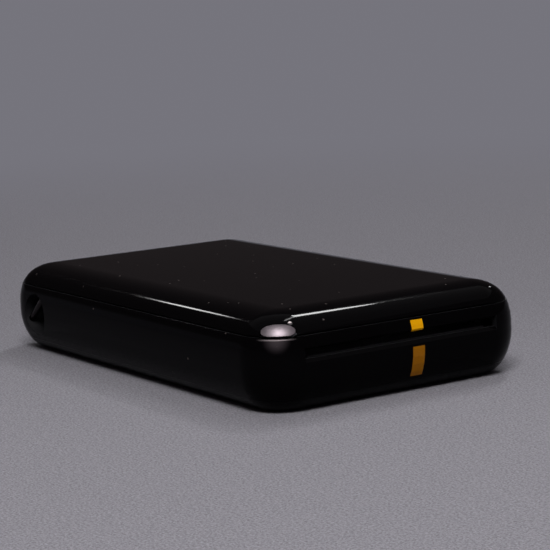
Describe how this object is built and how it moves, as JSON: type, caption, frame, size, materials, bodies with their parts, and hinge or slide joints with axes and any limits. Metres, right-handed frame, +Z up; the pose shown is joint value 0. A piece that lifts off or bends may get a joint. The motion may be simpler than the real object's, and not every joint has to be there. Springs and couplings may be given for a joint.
{
  "type": "photo printer",
  "caption": "Compact photo printer in a glossy black case with a hinged cover, a paper slot between two yellow marks, a corner button and a full roller train with thermal head",
  "frame": {"origin": "middle of the overall box, on the surface that the feet stand on", "axes": "+X towards the paper slot, +Y across the case away from the button side, +Z up"},
  "size_m": [0.127, 0.0746, 0.0225],
  "materials": {
    "case_black": "high gloss black",
    "base_black": "gloss black",
    "rubber": "matt black rubber",
    "screw_steel": "blackened to plain steel",
    "mark_yellow": "glossy yellow",
    "bright_steel": "bright plated",
    "pin_steel": "ground steel",
    "button_silver": "satin silver",
    "light_lens": "clear light pipe",
    "board_green": "solder resist",
    "switch_black": "black nylon",
    "frame_grey": "fine moulded texture",
    "bush_bronze": "sintered bronze",
    "gear_white": "natural acetal",
    "motor_can": "drawn steel can",
    "brass": "machined brass",
    "sheet_steel": "plated sheet steel",
    "ceramic": "glazed ceramic",
    "sink_aluminium": "extruded aluminium",
    "spring_steel": "spring wire",
    "battery_wrap": "shrink wrap"
  },
  "bodies": {
    "body": {"body_shell": "case_black", "bottom_cover": "base_black", "rubber_feet": "rubber", "case_screws": "screw_steel", "mark_upper": "mark_yellow", "mark_lower": "mark_yellow", "lanyard_bar": "bright_steel", "cover_hinge_pins": "pin_steel", "switch_board": "board_green", "push_switch": "switch_black", "chassis": "frame_grey", "chassis_screws": "screw_steel", "shaft_bushes": "bush_bronze", "motor": "motor_can", "motor_screws": "screw_steel", "gear_pins": "pin_steel", "gear_plate": "sheet_steel", "gear_plate_screws": "screw_steel", "head_pin": "pin_steel", "head_springs": "spring_steel", "pressure_bridge": "sheet_steel", "bridge_screws": "screw_steel", "main_board": "board_green", "board_screws": "screw_steel", "shield_can": "sheet_steel", "usb_socket": "bright_steel", "battery": "battery_wrap"},
    "cover": {"top_cover": "case_black", "status_light": "light_lens", "pad_screws": "screw_steel", "pad_springs": "spring_steel"},
    "pad": {"pressure_pad": "frame_grey"},
    "button": {"power_button": "button_silver"},
    "head": {"thermal_head": "ceramic", "heat_sink": "sink_aluminium"},
    "platen": {"platen_shaft": "pin_steel", "platen_roller": "rubber", "platen_gear": "gear_white"},
    "feed": {"feed_shaft": "pin_steel", "feed_rollers": "rubber", "feed_gear": "gear_white"},
    "pick": {"pick_shaft": "pin_steel", "pick_tyres": "rubber", "pick_gear": "gear_white"},
    "pinch": {"pinch_roller": "pin_steel"},
    "rotor": {"motor_pinion": "brass"},
    "reduction": {"reduction_gear": "gear_white"},
    "feed_idler": {"feed_idler": "gear_white"},
    "pick_idler": {"pick_idler": "gear_white"}
  },
  "joints": [
    {"name": "cover_hinge", "type": "hinge", "parent": "body", "child": "cover", "pos_m": [-0.0621, 0, 0.01775], "axis": [0, -1, 0], "range_deg": [0, 80]},
    {"name": "pad_slide", "type": "slide", "parent": "cover", "child": "pad", "axis": [0, 0, 1], "range_m": [0, 0.002], "stiffness_N_per_m": 150, "springref_m": -0.003, "deforming": ["pad_springs"]},
    {"name": "button_press", "type": "slide", "parent": "body", "child": "button", "axis": [0, 0, -1], "range_m": [0, 0.00025], "stiffness_N_per_m": 600, "springref_m": -0.0005},
    {"name": "head_hinge", "type": "hinge", "parent": "body", "child": "head", "pos_m": [0.051, 0, 0.016], "axis": [0, 1, 0], "range_deg": [0, 3], "stiffness_Nm_per_rad": 0.5, "springref_deg": -5.73, "deforming": ["head_springs"]},
    {"name": "platen_spin", "type": "hinge", "parent": "body", "child": "platen", "pos_m": [0.041, 0, 0.0087], "axis": [0, -1, 0], "continuous": true},
    {"name": "feed_spin", "type": "hinge", "parent": "body", "child": "feed", "pos_m": [0.028, 0, 0.0095], "axis": [0, -1, 0], "continuous": true},
    {"name": "pick_spin", "type": "hinge", "parent": "body", "child": "pick", "pos_m": [0.01, 0, 0.0084], "axis": [0, -1, 0], "continuous": true},
    {"name": "pinch_spin", "type": "hinge", "parent": "body", "child": "pinch", "pos_m": [0.028, 0, 0.0153], "axis": [0, -1, 0], "continuous": true},
    {"name": "motor_spin", "type": "hinge", "parent": "body", "child": "rotor", "pos_m": [0.0532, 0, 0.007], "axis": [0, -1, 0], "continuous": true},
    {"name": "reduction_spin", "type": "hinge", "parent": "body", "child": "reduction", "pos_m": [0.04772, 0, 0.01226], "axis": [0, -1, 0], "continuous": true},
    {"name": "feed_idler_spin", "type": "hinge", "parent": "body", "child": "feed_idler", "pos_m": [0.03401, 0, 0.01169], "axis": [0, -1, 0], "continuous": true},
    {"name": "pick_idler_spin", "type": "hinge", "parent": "body", "child": "pick_idler", "pos_m": [0.0193, 0, 0.0108], "axis": [0, -1, 0], "continuous": true}
  ],
  "couplings": [
    {"joint": "feed_spin", "follows": "platen_spin", "ratio": 1.3},
    {"joint": "pick_spin", "follows": "platen_spin", "ratio": 1.0833},
    {"joint": "pinch_spin", "follows": "platen_spin", "ratio": -2.275},
    {"joint": "motor_spin", "follows": "platen_spin", "ratio": 4.6944},
    {"joint": "reduction_spin", "follows": "platen_spin", "ratio": -2.1667},
    {"joint": "feed_idler_spin", "follows": "platen_spin", "ratio": -2.1667},
    {"joint": "pick_idler_spin", "follows": "platen_spin", "ratio": -1.0833}
  ]
}
